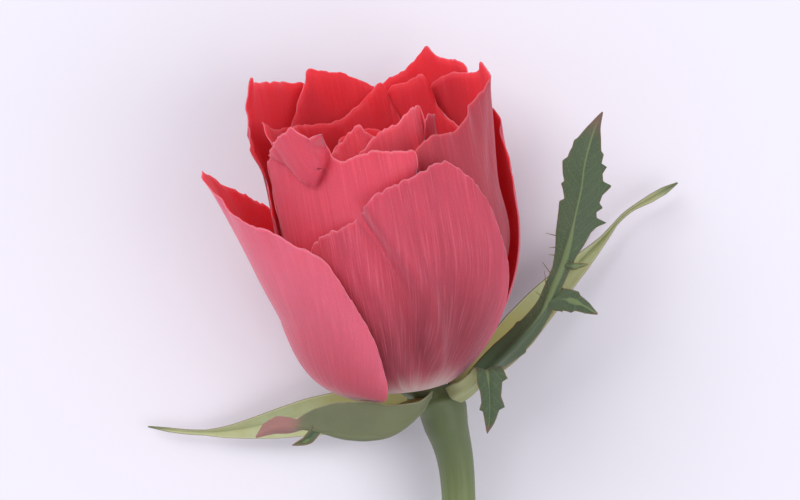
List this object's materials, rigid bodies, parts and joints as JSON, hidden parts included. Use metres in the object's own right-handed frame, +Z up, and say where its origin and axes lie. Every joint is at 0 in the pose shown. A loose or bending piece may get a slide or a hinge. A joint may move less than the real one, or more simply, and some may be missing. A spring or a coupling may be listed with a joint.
{
  "type": "cut rose",
  "caption": "Half-open pink-red rose bud with loose outer petals, spread green sepals and a bare cut stem, lying down.",
  "frame": {"origin": "centre of the bounding box, on the surface that the flower lies on", "axes": "+Y along the length, from the cut end of the stem to the mouth of the bud; +Z up from the surface; +X to the right when seen from above with the bud at the top"},
  "size_m": [0.0774, 0.1552, 0.039],
  "materials": {
    "petal": "soft velvety petal, pink outside and red inside",
    "sepal": "matte green leaf",
    "stem": "smooth satin green stem"
  },
  "bodies": {
    "root": {"petal_left": "petal", "petal_front": "petal", "petal_right": "petal", "petal_back": "petal", "petal_crest": "petal", "petal_cheek": "petal", "petal_left_back": "petal", "petal_top_right": "petal", "petal_top_left": "petal", "petal_inner_left": "petal", "petal_inner_right": "petal", "petal_inner_back": "petal", "petal_heart_front": "petal", "petal_heart_left": "petal", "petal_heart_right": "petal", "petal_heart_back": "petal", "petal_core_front": "petal", "petal_core_back": "petal", "sepal_leafy": "sepal", "sepal_back_right": "sepal", "sepal_front_left": "sepal", "sepal_back_left": "sepal", "sepal_folded": "sepal", "stem": "stem"}
  },
  "joints": []
}
